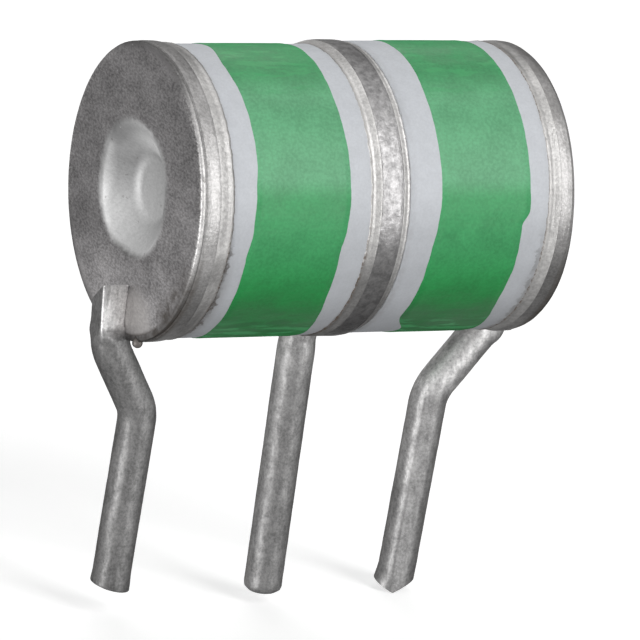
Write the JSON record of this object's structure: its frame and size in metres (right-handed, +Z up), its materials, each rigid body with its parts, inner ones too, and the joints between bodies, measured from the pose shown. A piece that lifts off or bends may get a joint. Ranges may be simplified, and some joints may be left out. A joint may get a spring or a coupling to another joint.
{
  "type": "gas discharge tube",
  "caption": "Round ceramic gas discharge tube that diverts surges: metal end electrodes, a centre ring electrode, green marking bands and formed wire leads.",
  "frame": {"origin": "on the middle lead's axis, at the height of the board that the straight pins pass through", "axes": "+X along the tube's axis towards the right end, +Z up from the board to the tube, leads towards -Z"},
  "size_m": [0.0134, 0.0082, 0.0163],
  "materials": {
    "end_electrode": "satin",
    "centre_electrode": "satin",
    "ceramic": "matte",
    "braze": "satin",
    "green_lacquer": "satin",
    "lead_wire": "satin",
    "weld_metal": "satin",
    "activation": "satin",
    "graphite": "matte"
  },
  "bodies": {
    "root": {"end_electrode_left": "end_electrode", "ceramic_tube_left": "ceramic", "end_braze_ring_left": "braze", "centre_braze_ring_left": "braze", "marking_band_left": "green_lacquer", "activation_compound_left": "activation", "ignition_stripes_left": "graphite", "lead_left": "lead_wire", "weld_left": "weld_metal", "end_electrode_right": "end_electrode", "ceramic_tube_right": "ceramic", "end_braze_ring_right": "braze", "centre_braze_ring_right": "braze", "marking_band_right": "green_lacquer", "activation_compound_right": "activation", "ignition_stripes_right": "graphite", "lead_right": "lead_wire", "weld_right": "weld_metal", "centre_electrode": "centre_electrode", "lead_middle": "lead_wire", "weld_middle": "weld_metal"}
  },
  "joints": []
}
